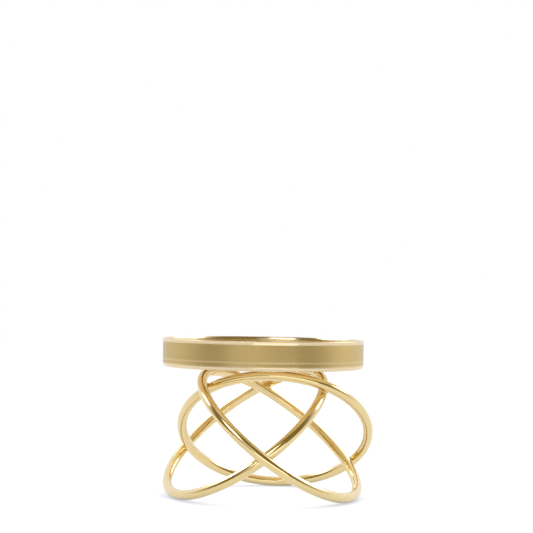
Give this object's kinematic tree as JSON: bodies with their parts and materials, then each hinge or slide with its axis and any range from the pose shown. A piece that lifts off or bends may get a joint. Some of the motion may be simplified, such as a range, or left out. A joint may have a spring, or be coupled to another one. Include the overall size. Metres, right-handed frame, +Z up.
{
  "type": "candle pedestal",
  "caption": "Low pedestal for a pillar candle: a shallow round metal pan with a crisp lip on linked, tilted wire rings.",
  "frame": {"origin": "middle of the pedestal's bounds, on the surface that it stands on", "axes": "+Z up, square to the pan's floor; +X to the right and -Y towards the viewer of the picture"},
  "size_m": [0.1262, 0.1254, 0.0933],
  "materials": {
    "pan_gold": "brushed satin gold",
    "ring_gold": "satin gold",
    "weld_gold": "satin gold"
  },
  "bodies": {
    "root": {"pan": "pan_gold", "ring_back": "ring_gold", "ring_left": "ring_gold", "ring_right": "ring_gold", "weld_low_left": "weld_gold", "weld_low_front": "weld_gold", "weld_low_right": "weld_gold", "weld_high_right": "weld_gold", "weld_high_back": "weld_gold", "weld_high_left": "weld_gold", "weld_pan_front_inner": "weld_gold", "weld_pan_front_outer": "weld_gold", "weld_pan_right_inner": "weld_gold", "weld_pan_right_outer": "weld_gold", "weld_pan_left_inner": "weld_gold", "weld_pan_left_outer": "weld_gold"}
  },
  "joints": []
}
